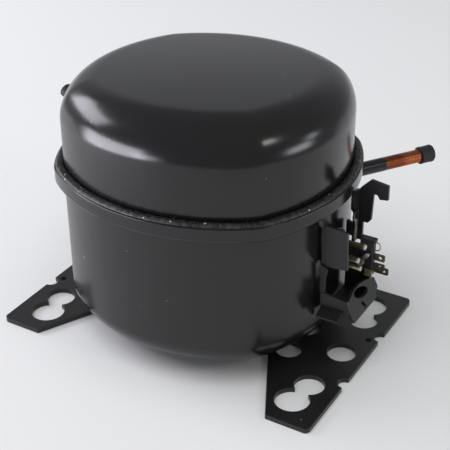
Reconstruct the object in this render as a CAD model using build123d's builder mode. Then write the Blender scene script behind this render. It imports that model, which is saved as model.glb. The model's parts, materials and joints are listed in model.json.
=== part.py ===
from build123d import *
import os

# Hermetic reciprocating compressor, millimetres, +Z up.
# Origin: centre of the four inner foot holes, on the underside of the feet.
# +X runs along the feet towards the electrical terminals.

os.makedirs("parts", exist_ok=True)

# ---- casing ---------------------------------------------------------------
shell_x = -1.5
shell_y = 6.0
flange_long = 84.6
flange_short = 81.0
corner_x = 43.1
corner_y = 36.5
corner_radius = 30.3
sheet = 3.0
rim_z = 104.4
band_height = 8.6
top_z = 157.3
top_inset = 5.6
top_crown_radius = 833.0
top_corner_radius = 22.5
top_lean = (23.2, -22.5)
skirt_inset = 3.2
skirt_height = 4.4
bottom_z = 9.0
bottom_inset = 5.1
bottom_crown_radius = 600.0
bottom_corner_radius = 15.0
play = 0.05

# ---- feet -----------------------------------------------------------------
foot_end_x = 101.3
foot_side_y = 68.9
foot_side_x = 76.0
foot_waist_x = 51.0
foot_tongue_y = 20.0
foot_thickness = 3.0
inner_hole_x = 85.0
inner_hole_y = 35.0
inner_hole_radius = 8.5
outer_hole_x = 82.55
outer_hole_y = 50.8
outer_hole_radius = 9.75
notch_y = 24.1
notch_radius = 4.3
centre_hole_x = 87.5
centre_hole_radius = 8.3
inner_round_hole = (60.3, 12.3)
inner_round_radius = 7.5
pilot_hole = (96.0, 18.0)
pilot_radius = 1.75

# ---- motor and pump -------------------------------------------------------
shaft_radius = 8.0
crank_throw = 9.0
crankpin_radius = 5.5
cylinder_z = 122.0
bore_radius = 12.5
piston_radius = 12.46
piston_length = 20.0
crown_reach = 38.2
head_face = -48.0
yoke_bore = 9.0
yoke_radius = 11.5
yoke_half = 18.6
slide_radius = 8.95
slide_half = 8.5
stator_low = 44.0
stator_high = 82.0
stator_side = 96.0
stator_bore = 28.0
rotor_radius = 27.6
slot_count = 24
bar_count = 28
corner_post = 40.0
deck_low = 96.0
deck_high = 103.0
head_bolt = 15.0
fit_gap = 0.02
clear_gap = 0.3

# ---- terminals ------------------------------------------------------------
terminal_y = 4.5
terminal_z = 66.0
pin_circle = 7.0
pin_radius = 1.6
hook_y = 20.0
bracket_sheet = 1.5

casing = Plane(origin=(shell_x, shell_y, 0))


def write(piece, name):
    """Label a finished piece and write it as its own STEP file."""
    piece.part.label = name
    export_step(piece.part, f"parts/{name}.step")


def level(height):
    """A horizontal plane centred on the casing."""
    return casing.offset(height)


def across(along):
    """A plane square to the cylinder's axis, local x to +Y and local y to +Z."""
    centre = (shell_x + along, shell_y, cylinder_z)
    return Plane(origin=centre, x_dir=(0, 1, 0), z_dir=(1, 0, 0))


def facing(x, y=0.0, z=0.0):
    """A plane that faces +X, local x to +Y and local y to +Z."""
    return Plane(origin=(x, y, z), x_dir=(0, 1, 0), z_dir=(1, 0, 0))


def side(y):
    """A plane that faces -Y, local x to +X and local y to +Z."""
    return Plane(origin=(0, y, 0), x_dir=(1, 0, 0), z_dir=(0, -1, 0))


def oval_plan(inset):
    """The casing's plan, a rounded oval of eight tangent arcs, moved in by inset."""
    flank = ((flange_long - corner_x) ** 2 + corner_y**2 - corner_radius**2) / (
        2 * (flange_long - corner_x - corner_radius)
    )
    front = ((flange_short - corner_y) ** 2 + corner_x**2 - corner_radius**2) / (
        2 * (flange_short - corner_y - corner_radius)
    )
    flank_x = flange_long - flank
    front_y = flange_short - front
    low = Vector(corner_x - flank_x, corner_y).get_angle(Vector(1, 0))
    high = Vector(corner_x, corner_y - front_y).get_angle(Vector(1, 0))
    with BuildSketch(mode=Mode.PRIVATE) as plan:
        with BuildLine():
            CenterArc((flank_x, 0), flank - inset, -low, 2 * low)
            CenterArc((corner_x, corner_y), corner_radius - inset, low, high - low)
            CenterArc((0, front_y), front - inset, high, 180 - 2 * high)
            CenterArc((-corner_x, corner_y), corner_radius - inset, 180 - high, high - low)
            CenterArc((-flank_x, 0), flank - inset, 180 - low, 2 * low)
            CenterArc((-corner_x, -corner_y), corner_radius - inset, 180 + low, high - low)
            CenterArc((0, -front_y), front - inset, 180 + high, 180 - 2 * high)
            CenterArc((corner_x, -corner_y), corner_radius - inset, -high, high - low)
        make_face()
    return plan.sketch


def domed(inset, low, apex, crown_radius, corner, lean=(0, 0)):
    """A solid oval drum whose far end is crowned and well rounded, highest at lean from its centre."""
    up = 1 if apex > low else -1
    with BuildPart(mode=Mode.PRIVATE) as drum:
        with BuildSketch(level(low)):
            add(oval_plan(inset))
        extrude(amount=apex - low)
        with Locations((shell_x + lean[0], shell_y + lean[1], apex - up * crown_radius)):
            Sphere(crown_radius, rotation=(90, 0, 0), mode=Mode.INTERSECT)
        end = drum.faces().sort_by(Axis.Z)[-1 if up > 0 else 0]
        fillet(end.edges(), corner)
    return drum.part


# ---- stub tubes: start on the wall, heading, rise, length, radius, cap length ----
tube_z = 80.0
tube_wall = 0.8
stubs = {
    "suction": ((55.6, 63.6, tube_z), 55.6, 0, 57, 4.0, 9),
    "process": ((-76.2, 30.5, tube_z), 168, 20.5, 57, 3.2, 12),
    "discharge": ((-27.5, 81.2, tube_z), 104, 0, 42, 3.2, 10),
}


def stub_plane(name):
    """The plane square to a stub tube where it leaves the casing."""
    start, heading, rise = stubs[name][:3]
    axis = Vector(1, 0, 0).rotate(Axis.Y, -rise).rotate(Axis.Z, heading)
    return Plane(origin=start, z_dir=axis)


# ---- casing ---------------------------------------------------------------
ledge_low = rim_z - band_height
ledge_high = ledge_low + sheet
header_radius = 12.5

with BuildPart() as lower_shell:
    add(domed(bottom_inset, ledge_high, bottom_z, bottom_crown_radius, bottom_corner_radius))
    with BuildSketch(level(ledge_low)):
        add(oval_plan(0))
    extrude(amount=band_height)
    with BuildSketch(level(ledge_high)):
        add(oval_plan(sheet))
    extrude(amount=band_height, mode=Mode.SUBTRACT)
    add(
        domed(
            bottom_inset + sheet,
            ledge_high + 1,
            bottom_z + sheet,
            bottom_crown_radius - sheet,
            bottom_corner_radius - sheet,
        ),
        mode=Mode.SUBTRACT,
    )
    with BuildSketch(facing(shell_x + 60, terminal_y, terminal_z)):
        Circle(header_radius + clear_gap)
    extrude(amount=30, mode=Mode.SUBTRACT)
    for name in stubs:
        with BuildSketch(stub_plane(name).offset(-15)):
            Circle(stubs[name][4] + fit_gap)
        extrude(amount=25, mode=Mode.SUBTRACT)
write(lower_shell, "lower_shell")

with BuildPart() as upper_shell:
    add(domed(top_inset, ledge_high + sheet, top_z, top_crown_radius, top_corner_radius, top_lean))
    with BuildSketch(level(ledge_high + clear_gap)):
        add(oval_plan(skirt_inset))
    extrude(amount=skirt_height)
    with BuildSketch(level(ledge_high + clear_gap)):
        add(oval_plan(skirt_inset + sheet))
    extrude(amount=skirt_height - sheet / 2, mode=Mode.SUBTRACT)
    add(
        domed(
            top_inset + sheet,
            ledge_high,
            top_z - sheet,
            top_crown_radius - sheet,
            top_corner_radius - sheet,
            top_lean,
        ),
        mode=Mode.SUBTRACT,
    )
write(upper_shell, "upper_shell")

weld_height = 2.0
weld_outset = 0.8
with BuildPart() as weld_seam:
    with BuildSketch(level(rim_z + play)):
        add(oval_plan(weld_outset))
        add(oval_plan(top_inset - play), mode=Mode.SUBTRACT)
    extrude(amount=weld_height)
    top_edges = weld_seam.faces().sort_by(Axis.Z)[-1].outer_wire().edges()
    fillet(top_edges, weld_height * 0.8)
write(weld_seam, "weld_seam")


# ---- feet -----------------------------------------------------------------
ramp_high_x = 41.0
ramp_low_x = 49.0
tongue_end_x = 20.0
tongue_top = bottom_z - play
with BuildPart() as foot_plate_right:
    with BuildSketch(side(foot_side_y + 5)):
        with BuildLine():
            Polyline(
                (foot_end_x, 0),
                (foot_end_x, foot_thickness),
                (ramp_low_x, foot_thickness),
                (ramp_high_x, tongue_top),
                (tongue_end_x, tongue_top),
                (tongue_end_x, tongue_top - foot_thickness),
                (ramp_high_x - 1, tongue_top - foot_thickness),
                (ramp_low_x - 1, 0),
                close=True,
            )
        make_face()
    extrude(amount=2 * foot_side_y + 10)
    with BuildSketch(Plane.XY.offset(-1)):
        with BuildLine():
            Polyline(
                (foot_end_x, -foot_side_y),
                (foot_end_x, foot_side_y),
                (foot_side_x, foot_side_y),
                (foot_waist_x, foot_tongue_y),
                (tongue_end_x, foot_tongue_y),
                (tongue_end_x, -foot_tongue_y),
                (foot_waist_x, -foot_tongue_y),
                (foot_side_x, -foot_side_y),
                close=True,
            )
        make_face()
    extrude(amount=bottom_z + 5, mode=Mode.INTERSECT)
    end_corners = foot_plate_right.edges().filter_by(Axis.Z).group_by(Axis.X)[-1]
    fillet(end_corners, 3.0)
    with BuildSketch(Plane.XY.offset(-1)):
        with Locations((inner_hole_x, inner_hole_y), (inner_hole_x, -inner_hole_y)):
            Circle(inner_hole_radius)
        with Locations((outer_hole_x, outer_hole_y), (outer_hole_x, -outer_hole_y)):
            Circle(outer_hole_radius)
        with Locations((foot_end_x, notch_y), (foot_end_x, -notch_y)):
            Circle(notch_radius)
        with Locations((centre_hole_x, 0)):
            Circle(centre_hole_radius)
        with Locations(inner_round_hole, (inner_round_hole[0], -inner_round_hole[1])):
            Circle(inner_round_radius)
        with Locations(pilot_hole):
            Circle(pilot_radius)
    extrude(amount=foot_thickness + 2, mode=Mode.SUBTRACT)
write(foot_plate_right, "foot_plate_right")

with BuildPart() as foot_plate_left:
    add(foot_plate_right.part.rotate(Axis.Z, 180))
write(foot_plate_left, "foot_plate_left")


# ---- stub tubes, their braze collars and rubber caps ------------------------
cap_overhang = 3.0
collar_wall = 2.2
cap_wall = 1.3
for name, (*_, length, radius, cap_length) in stubs.items():
    base = stub_plane(name)
    cap_low = length + cap_overhang - cap_length
    with BuildPart() as tube:
        with BuildSketch(base.offset(-5)):
            Circle(radius)
            Circle(radius - tube_wall, mode=Mode.SUBTRACT)
        extrude(amount=length + 5)
    write(tube, name + "_tube")
    with BuildPart() as collar:
        with BuildSketch(base.offset(0.5)):
            Circle(radius + collar_wall)
            Circle(radius + fit_gap, mode=Mode.SUBTRACT)
        extrude(amount=5)
        add(
            domed(bottom_inset - play, ledge_low, bottom_z, bottom_crown_radius, bottom_corner_radius),
            mode=Mode.SUBTRACT,
        )
    write(collar, name + "_collar")
    with BuildPart() as cap:
        with BuildSketch(base.offset(cap_low)):
            Circle(radius + cap_wall)
        extrude(amount=cap_length)
        with BuildSketch(base.offset(cap_low)):
            Circle(radius + fit_gap)
        extrude(amount=cap_length - cap_overhang + fit_gap, mode=Mode.SUBTRACT)
        with BuildSketch(base.offset(length + fit_gap)):
            Circle(radius * 0.4)
        extrude(amount=5, mode=Mode.SUBTRACT)
    write(cap, name + "_cap")


# ---- hermetic terminal ------------------------------------------------------
wall_x = shell_x + flange_long - bottom_inset
pin_places = {
    "top": (0, pin_circle, 18.5),
    "bottom": (0, -pin_circle, 16.5),
    "left": (-pin_circle, 2.3, 18.0),
}
bead_radius = 3.2
with BuildPart() as terminal_header:
    with BuildSketch(facing(wall_x - 2.5, terminal_y, terminal_z)):
        Circle(header_radius)
        with Locations([place[:2] for place in pin_places.values()]):
            Circle(bead_radius + fit_gap, mode=Mode.SUBTRACT)
    extrude(amount=2)
    with BuildSketch(facing(wall_x - 0.5, terminal_y, terminal_z)):
        Circle(header_radius)
        Circle(header_radius - 1.2, mode=Mode.SUBTRACT)
    extrude(amount=2)
write(terminal_header, "terminal_header")

with BuildPart() as terminal_glass:
    with BuildSketch(facing(wall_x - 3, terminal_y, terminal_z)):
        with Locations([place[:2] for place in pin_places.values()]):
            Circle(bead_radius)
            Circle(pin_radius + fit_gap, mode=Mode.SUBTRACT)
    extrude(amount=3.2)
write(terminal_glass, "terminal_glass")

with BuildPart() as terminal_pins:
    for reach_y, reach_z, reach in pin_places.values():
        with BuildSketch(facing(wall_x - 11, terminal_y + reach_y, terminal_z + reach_z)):
            Circle(pin_radius)
        extrude(amount=11 + reach)
write(terminal_pins, "terminal_pins")

with BuildPart() as lead_connector:
    with BuildSketch(facing(wall_x - 13, terminal_y, terminal_z)):
        RectangleRounded(23, 23, 4)
        with Locations([place[:2] for place in pin_places.values()]):
            Circle(pin_radius + clear_gap, mode=Mode.SUBTRACT)
    extrude(amount=9)
write(lead_connector, "lead_connector")

# ---- terminal fence, hook and tray: bent sheet welded to the casing ------------
fence_y = -9.8
with BuildPart() as fence_plate:
    with BuildSketch(side(fence_y)):
        with BuildLine():
            Polyline((78.4, 64.5), (93.2, 65.8), (92.2, 88.4), (80.5, 89.6), (77.8, 87.2), close=True)
        make_face()
    extrude(amount=bracket_sheet)
    fillet(fence_plate.edges().filter_by(Axis.Y), 0.6)
    with BuildSketch(facing(77.9, fence_y - bracket_sheet, 76)):
        with Locations((1.4, 0)):
            Rectangle(2.8, 20)
    extrude(amount=1.2)
write(fence_plate, "fence_plate")

with BuildPart() as fence_strap:
    with BuildSketch(side(fence_y - bracket_sheet - 0.3)):
        with BuildLine():
            Polyline((78.1, 49), (81.5, 49), (81.5, 58), (82.5, 64), (78.1, 66), close=True)
        make_face()
    extrude(amount=1.2)
write(fence_strap, "fence_strap")

# The tray is a floor, a leaning outer wall with a crowned top edge, and two end plates.
tray_low = 34.5
tray_high = 47.6
tray_foot_x = 99.4
tray_lip_x = 92.9
tray_ends = (-12.0, 22.6)
tray_floor = 1.8
with BuildPart() as fence_tray:
    with BuildSketch(side(tray_ends[1])):
        with BuildLine():
            Polyline(
                (tray_foot_x, tray_low),
                (tray_lip_x, tray_high),
                (tray_lip_x - bracket_sheet, tray_high),
                (tray_foot_x - 2 * bracket_sheet, tray_low + bracket_sheet),
                (tray_foot_x - 2 * bracket_sheet, tray_low),
                close=True,
            )
        make_face()
    extrude(amount=tray_ends[1] - tray_ends[0])
    with BuildSketch(facing(80)):
        with BuildLine():
            Polyline(
                (-13, 45.2),
                (-8.5, 45.2),
                (-1.3, 47.3),
                (6.3, 47.5),
                (14.3, 46.1),
                (22.5, 43.4),
                (22.5, 38.5),
                (18.0, 36.0),
                (16.5, 33),
                (30, 33),
                (30, 60),
                (-13, 60),
                close=True,
            )
        make_face()
        with Locations((5.0, 43.6)):
            Ellipse(7.4, 2.7, rotation=-14)
        with Locations((3.2, 37.6)):
            SlotOverall(4.6, 2.0, rotation=-55)
    extrude(amount=30, mode=Mode.SUBTRACT)
    with Locations((79.0, tray_ends[0] + 1, tray_low)):
        Box(17.6, 31.0, tray_floor, align=(Align.MIN, Align.MIN, Align.MIN))
    with BuildSketch(side(-11.0)):
        with BuildLine():
            Polyline((78.9, 31), (94.5, 30.5), (98.0, 33), (94.6, 46.6), (78.6, 48.8), close=True)
        make_face()
    extrude(amount=bracket_sheet)
    with BuildSketch(side(19.6)):
        with BuildLine():
            Polyline((79.0, 34.6), (97.2, 34.6), (93.8, 43.6), (93.6, 50.6), (79.0, 52.4), close=True)
        make_face()
    extrude(amount=bracket_sheet)
write(fence_tray, "fence_tray")

tab_droop = 0.45
with BuildPart() as tray_tab:
    with BuildSketch(side(-12.6)):
        with BuildLine():
            Polyline((79.5, 40.6), (92.6, 40.6), (92.6, 39.4), (79.5, 39.4), close=True)
        make_face()
    extrude(amount=7.5, dir=(0, -1, -tab_droop))
write(tray_tab, "tray_tab")

hook_sheet = 1.8
hook_x = 85.2
with BuildPart() as cover_hook:
    with BuildSketch(side(hook_y)):
        with BuildLine():
            Polyline(
                (hook_x, 68),
                (87.8, 68),
                (87.8, 79.7),
                (90.6, 79.7),
                (92.4, 81.8),
                (93.1, 98.1),
                (95.2, 98.1),
                (96.7, 95.7),
                (101.4, 96.4),
                (101.3, 104.8),
                (91.2, 106.2),
                (86.8, 101.6),
                (hook_x, 99.8),
                close=True,
            )
        make_face()
    extrude(amount=hook_sheet)
    with BuildSketch(facing(hook_x - hook_sheet)):
        with BuildLine():
            Polyline(
                (hook_y, 68),
                (hook_y, 98.5),
                (hook_y - 7.5, 100.5),
                (hook_y - 9, 97),
                (hook_y - 9, 90),
                (hook_y - 5.6, 86),
                (hook_y - 5.6, 68),
                close=True,
            )
        make_face()
    extrude(amount=hook_sheet + play)
    with BuildSketch(side(hook_y)):
        with BuildLine():
            Polyline((78.2, 69), (hook_x - 1, 69), (hook_x - 1, 76), (78.2, 78), close=True)
        make_face()
    extrude(amount=hook_sheet)
write(cover_hook, "cover_hook")

# ---- start relay, protector and their blades ----------------------------------
relay_low = (89.0, 13.0, 51.0)
relay_size = (8.4, 3.6, 20.7)
relay_ledge = 1.4
relay_wing_x = 81.8
relay_wing_height = 15.0
with BuildPart() as relay_body:
    with BuildSketch(Plane(origin=relay_low)):
        with Locations((relay_size[0] / 2, relay_size[1] / 2)):
            RectangleRounded(relay_size[0], relay_size[1], 0.9)
    extrude(amount=relay_size[2])
    with BuildSketch(Plane(origin=(relay_low[0], relay_low[1], relay_low[2] + relay_size[2]))):
        with Locations((relay_size[0] / 2 + 0.4, relay_size[1] / 2 - 0.4)):
            RectangleRounded(relay_size[0] + 1.0, relay_size[1] + 0.6, 0.9)
    extrude(amount=relay_ledge)
    with BuildSketch(side(relay_low[1] + relay_size[1] - 0.4)):
        with Locations(((relay_wing_x + relay_low[0] + 2) / 2, relay_low[2] + relay_wing_height / 2)):
            RectangleRounded(relay_low[0] + 2 - relay_wing_x, relay_wing_height, 0.9)
    extrude(amount=2.4)
write(relay_body, "relay_body")

blade_length = 6.1
blade_height = 4.2
relay_face_x = relay_low[0] + relay_size[0]
blade_places = ((15.2, 62.2, 0), (15.2, 56.4, 0.2), (16.4, 53.6, 2.1))
with BuildPart() as relay_blades:
    for blade_y, blade_z, extra in blade_places:
        with BuildSketch(side(blade_y)):
            with Locations((relay_face_x + (blade_length + extra) / 2 + play, blade_z)):
                RectangleRounded(blade_length + extra, blade_height, 0.9)
            with Locations((relay_face_x + blade_length + extra - 2.6, blade_z)):
                Circle(0.95, mode=Mode.SUBTRACT)
        extrude(amount=0.8)
write(relay_blades, "relay_blades")

wire_x = relay_face_x + play
wire_y = 15.6
wire_high = 70.6
wire_low = 65.8
with BuildPart() as relay_wire:
    with BuildLine() as wire_line:
        FilletPolyline(
            (wire_x, wire_y, wire_high),
            (wire_x + 2.6, wire_y, wire_high),
            (wire_x + 2.6, wire_y, wire_low),
            (wire_x, wire_y, wire_low),
            radius=1.6,
        )
    with BuildSketch(facing(wire_x, wire_y, wire_high)):
        Circle(0.35)
    sweep(path=wire_line.line)
write(relay_wire, "relay_wire")

screw_place = (90.4, 58.4)
with BuildPart() as relay_screw:
    with BuildSketch(side(relay_low[1] - play)):
        with Locations(screw_place):
            Circle(2.3)
    extrude(amount=2.2)
    with BuildSketch(side(relay_low[1] - play - 1.4)):
        with Locations(screw_place):
            Rectangle(4.8, 0.7, rotation=35)
    extrude(amount=1.0, mode=Mode.SUBTRACT)
write(relay_screw, "relay_screw")

with BuildPart() as relay_lug:
    with BuildSketch(side(relay_low[1] - play)):
        with Locations((93.6, 62.9)):
            SlotOverall(5.4, 2.4, rotation=50)
    extrude(amount=2.2)
write(relay_lug, "relay_lug")

with BuildPart() as common_blade:
    with BuildSketch(side(relay_low[1] - play)):
        with Locations((95.2, 52.2)):
            Rectangle(4.4, 4.8)
    extrude(amount=0.8)
write(common_blade, "common_blade")

strap_y = 13.0
eye_z = 85.8
with BuildPart() as earth_strap:
    with BuildSketch(facing(hook_x + 2 * play)):
        with Locations((strap_y, eye_z - 8.4)):
            RectangleRounded(3.2, 13, 1.2)
        with Locations((strap_y, eye_z)):
            Circle(3.4)
            Circle(1.9, mode=Mode.SUBTRACT)
    extrude(amount=1.0)
write(earth_strap, "earth_strap")


# ---- motor ---------------------------------------------------------------------
slot_depth_radius = 40.0
slot_width = 3.6
slot_start_radius = 26.0
bolt_radius = 2.4
posts = GridLocations(2 * corner_post, 2 * corner_post, 2, 2)
with BuildPart() as stator_core:
    with BuildSketch(level(stator_low)):
        RectangleRounded(stator_side, stator_side, 14)
        Circle(stator_bore, mode=Mode.SUBTRACT)
        with PolarLocations((slot_start_radius + slot_depth_radius) / 2, slot_count):
            Rectangle(slot_depth_radius - slot_start_radius, slot_width, mode=Mode.SUBTRACT)
        with posts:
            Circle(bolt_radius + 0.2, mode=Mode.SUBTRACT)
    extrude(amount=stator_high - stator_low)
write(stator_core, "stator_core")

coil_inner = 30.5
coil_outer = 43.0
coil_low = 29.5
coil_high = 97.0
ring_gap = 0.5
deck_clear = coil_high - 1.6
with BuildPart() as stator_winding:
    with BuildSketch(level(coil_low)):
        Circle(coil_outer)
        Circle(coil_inner, mode=Mode.SUBTRACT)
    extrude(amount=stator_low - ring_gap - coil_low)
    with BuildSketch(level(stator_high + ring_gap)):
        Circle(coil_outer)
        Circle(coil_inner, mode=Mode.SUBTRACT)
    extrude(amount=deck_clear - stator_high - ring_gap)
    fillet(stator_winding.edges().filter_by(GeomType.CIRCLE), 4.0)
    with BuildSketch(level(stator_low - 4)):
        with PolarLocations((coil_inner + slot_depth_radius - 1.5) / 2 + 1, slot_count):
            Rectangle(slot_depth_radius - coil_inner - 2.5, slot_width - 0.6)
    extrude(amount=stator_high - stator_low + 8)
write(stator_winding, "stator_winding")

rotor_low = 43.0
rotor_high = 83.0
cage_radius = 24.6
cage_bar = 1.5
with BuildPart() as rotor_core:
    with BuildSketch(level(rotor_low)):
        Circle(rotor_radius)
        Circle(shaft_radius + fit_gap, mode=Mode.SUBTRACT)
        with PolarLocations(cage_radius, bar_count):
            Circle(cage_bar + play, mode=Mode.SUBTRACT)
    extrude(amount=rotor_high - rotor_low)
write(rotor_core, "rotor_core")

ring_height = 5.0
with BuildPart() as rotor_cage:
    for ring_low in (rotor_low - play - ring_height, rotor_high + play):
        with BuildSketch(level(ring_low)):
            Circle(rotor_radius - 0.6)
            Circle(15.5, mode=Mode.SUBTRACT)
        extrude(amount=ring_height)
    with BuildSketch(level(rotor_low - play - 1)):
        with PolarLocations(cage_radius, bar_count):
            Circle(cage_bar)
    extrude(amount=rotor_high - rotor_low + 2 * play + 2)
write(rotor_cage, "rotor_cage")

# ---- crankshaft --------------------------------------------------------------
web_low = deck_high + 0.4
web_high = web_low + 6.0
web_radius = 15.0
pin_top = 127.5
with BuildPart() as crankshaft:
    with BuildSketch(level(30)):
        Circle(shaft_radius)
    extrude(amount=web_low - 30)
    with BuildSketch(level(web_low)):
        Circle(web_radius)
    extrude(amount=web_high - web_low)
    with BuildSketch(level(web_high)):
        with Locations((0, crank_throw)):
            Circle(crankpin_radius)
    extrude(amount=pin_top - web_high)
    with BuildSketch(level(29)):
        Circle(2.5)
    extrude(amount=60, mode=Mode.SUBTRACT)
    with BuildSketch(level(80)):
        with Locations((0, crank_throw - 1.5)):
            Circle(1.5)
    extrude(amount=60, mode=Mode.SUBTRACT)
write(crankshaft, "crankshaft")

with BuildPart() as counterweight:
    with BuildSketch(level(web_low)):
        Circle(22.0)
        Circle(web_radius + fit_gap, mode=Mode.SUBTRACT)
        with Locations((0, 26)):
            Rectangle(60, 48, mode=Mode.SUBTRACT)
    extrude(amount=web_high - web_low)
write(counterweight, "counterweight")

pickup_low = 16.5
with BuildPart() as oil_pickup:
    with BuildSketch(level(29.9)):
        Circle(4.6)
    with BuildSketch(level(pickup_low)):
        Circle(2.6)
    loft()
    with BuildSketch(level(pickup_low - 1)):
        Circle(1.4)
    extrude(amount=20, mode=Mode.SUBTRACT)
write(oil_pickup, "oil_pickup")

# ---- crankcase and bearing ------------------------------------------------------
hub_low = 88.6
hub_radius = 14.5
bearing_radius = 10.5
barrel_radius = 18.0
barrel_end = -24.0
block_half = 19.5
post_radius = 7.5
with BuildPart() as crankcase:
    with BuildSketch(level(deck_low)):
        RectangleRounded(2 * corner_post + 10, 2 * corner_post + 6, 12)
    extrude(amount=deck_high - deck_low)
    with BuildSketch(level(stator_high + play)):
        with posts:
            Circle(post_radius)
    extrude(amount=deck_high - stator_high - play)
    with BuildSketch(level(hub_low)):
        Circle(hub_radius)
    extrude(amount=deck_high - hub_low)
    with BuildSketch(across(head_face)):
        Circle(barrel_radius)
    extrude(amount=barrel_end - head_face)
    with BuildSketch(across(head_face)):
        RectangleRounded(2 * block_half - 1, 2 * block_half - 3, 6)
        with Locations((0, -block_half + 4)):
            Rectangle(2 * block_half - 1, 10)
    extrude(amount=9)
    with BuildSketch(level(deck_high - 1)):
        with Locations(((head_face + barrel_end) / 2, 0)):
            Rectangle(barrel_end - head_face, 26)
    extrude(amount=cylinder_z - deck_high)
    with BuildSketch(across(head_face - 1)):
        Circle(bore_radius)
    extrude(amount=30, mode=Mode.SUBTRACT)
    with BuildSketch(level(hub_low - 1)):
        Circle(bearing_radius + fit_gap)
    extrude(amount=20, mode=Mode.SUBTRACT)
    with BuildSketch(across(head_face - 1)):
        with GridLocations(2 * head_bolt, 2 * head_bolt, 2, 2):
            Circle(bolt_radius + play)
    extrude(amount=12, mode=Mode.SUBTRACT)
    with BuildSketch(level(stator_high)):
        with posts:
            Circle(bolt_radius + play)
    extrude(amount=14, mode=Mode.SUBTRACT)
write(crankcase, "crankcase")

with BuildPart() as main_bearing:
    with BuildSketch(level(hub_low)):
        Circle(bearing_radius)
        Circle(shaft_radius + 0.03, mode=Mode.SUBTRACT)
    extrude(amount=deck_high - hub_low)
write(main_bearing, "main_bearing")

# ---- stator bolts and suspension ---------------------------------------------------
with BuildPart() as stator_bolts:
    with BuildSketch(level(stator_low - play - 4.3)):
        with posts:
            RegularPolygon(4.2, 6)
    extrude(amount=4.3)
    with BuildSketch(level(stator_low - play)):
        with posts:
            Circle(bolt_radius)
    extrude(amount=50)
write(stator_bolts, "stator_bolts")

seat_flange = 8.2
peg_radius = 5.6
spring_radius = 7.5
spring_wire = 1.1
spring_low = 18.9
spring_high = 40.2
with BuildPart() as upper_spring_seats:
    with BuildSketch(level(41.6)):
        with posts:
            Circle(seat_flange)
    extrude(amount=stator_low - 0.1 - 41.6)
    with BuildSketch(level(34)):
        with posts:
            Circle(peg_radius)
    extrude(amount=8)
    with BuildSketch(level(38.6)):
        with posts:
            Circle(4.5)
    extrude(amount=8, mode=Mode.SUBTRACT)
write(upper_spring_seats, "upper_spring_seats")

with BuildPart() as lower_spring_seats:
    with BuildSketch(level(15.8)):
        with posts:
            Circle(seat_flange)
    extrude(amount=1.8)
    with BuildSketch(level(17.4)):
        with posts:
            Circle(peg_radius)
    extrude(amount=8)
    fillet(lower_spring_seats.faces().group_by(Axis.Z)[-1].edges(), 1.5)
write(lower_spring_seats, "lower_spring_seats")

with BuildPart() as suspension_springs:
    for spot_x in (-corner_post, corner_post):
        for spot_y in (-corner_post, corner_post):
            spot = (shell_x + spot_x, shell_y + spot_y, spring_low)
            with BuildLine(mode=Mode.PRIVATE) as coil:
                Helix(pitch=4.32, height=spring_high - spring_low, radius=spring_radius, center=spot)
            with BuildSketch(Plane(origin=coil.line @ 0, z_dir=coil.line % 0)):
                Circle(spring_wire)
            sweep(path=coil.line, is_frenet=True)
write(suspension_springs, "suspension_springs")

# ---- yoke, slide block and piston ----------------------------------------------------
middle = Plane(origin=(shell_x, shell_y, cylinder_z), x_dir=(1, 0, 0), z_dir=(0, -1, 0))
slot_end = crank_throw + crankpin_radius + 0.5
with BuildPart() as yoke_tube:
    with BuildSketch(middle):
        Circle(yoke_radius)
    extrude(amount=yoke_half, both=True)
    with BuildSketch(level(cylinder_z + 8)):
        Circle(6.5)
    extrude(amount=6.0)
    with BuildSketch(middle):
        Circle(yoke_bore)
    extrude(amount=yoke_half + 1, both=True, mode=Mode.SUBTRACT)
    with BuildSketch(level(cylinder_z - 14)):
        RectangleRounded(2 * crankpin_radius + 0.8, 2 * slot_end, 5.8)
    extrude(amount=14, mode=Mode.SUBTRACT)
    with BuildSketch(level(cylinder_z + 12)):
        Circle(4.3)
    extrude(amount=6, mode=Mode.SUBTRACT)
write(yoke_tube, "yoke_tube")

with BuildPart() as yoke_oil_plug:
    with BuildSketch(level(cylinder_z + 12.3)):
        Circle(4.0)
    extrude(amount=1.5)
    with BuildSketch(level(cylinder_z + 12.3)):
        Circle(0.8)
    extrude(amount=4, mode=Mode.SUBTRACT)
write(yoke_oil_plug, "yoke_oil_plug")

with BuildPart() as slide_block:
    with BuildSketch(Plane(origin=(shell_x, shell_y + crank_throw, cylinder_z), z_dir=(0, 1, 0))):
        Circle(slide_radius)
    extrude(amount=slide_half, both=True)
    with BuildSketch(level(cylinder_z - 12)):
        with Locations((0, crank_throw)):
            Circle(crankpin_radius + 0.04)
    extrude(amount=24, mode=Mode.SUBTRACT)
write(slide_block, "slide_block")

piston_low = -crown_reach
with BuildPart() as piston:
    with BuildSketch(across(piston_low)):
        Circle(piston_radius)
    extrude(amount=piston_length)
    for groove in (3.0, 6.0):
        with BuildSketch(across(piston_low + groove)):
            Circle(piston_radius + 1)
            Circle(piston_radius - 0.6, mode=Mode.SUBTRACT)
        extrude(amount=1.0, mode=Mode.SUBTRACT)
    with BuildSketch(across(piston_low + 4)):
        Circle(9.5)
    extrude(amount=piston_length, mode=Mode.SUBTRACT)
    with BuildSketch(across(piston_low + 3)):
        Circle(6.5)
    extrude(amount=-piston_low - 3 - yoke_radius + 2.5)
    with BuildSketch(middle):
        Circle(yoke_radius + fit_gap)
    extrude(amount=yoke_half, both=True, mode=Mode.SUBTRACT)
write(piston, "piston")

# ---- valve plate, reeds, gaskets, head --------------------------------------------------
plate_width = 2 * block_half - 2
plate_height = 2 * block_half - 3
gasket_thickness = 1.0
plate_thickness = 3.0
gasket_x = head_face - fit_gap - gasket_thickness
plate_x = gasket_x - fit_gap - plate_thickness
suction_port = (5.0, -3.5)
discharge_port = (-6.0, -3.5)
bolt_clear = bolt_radius + 0.2


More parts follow.
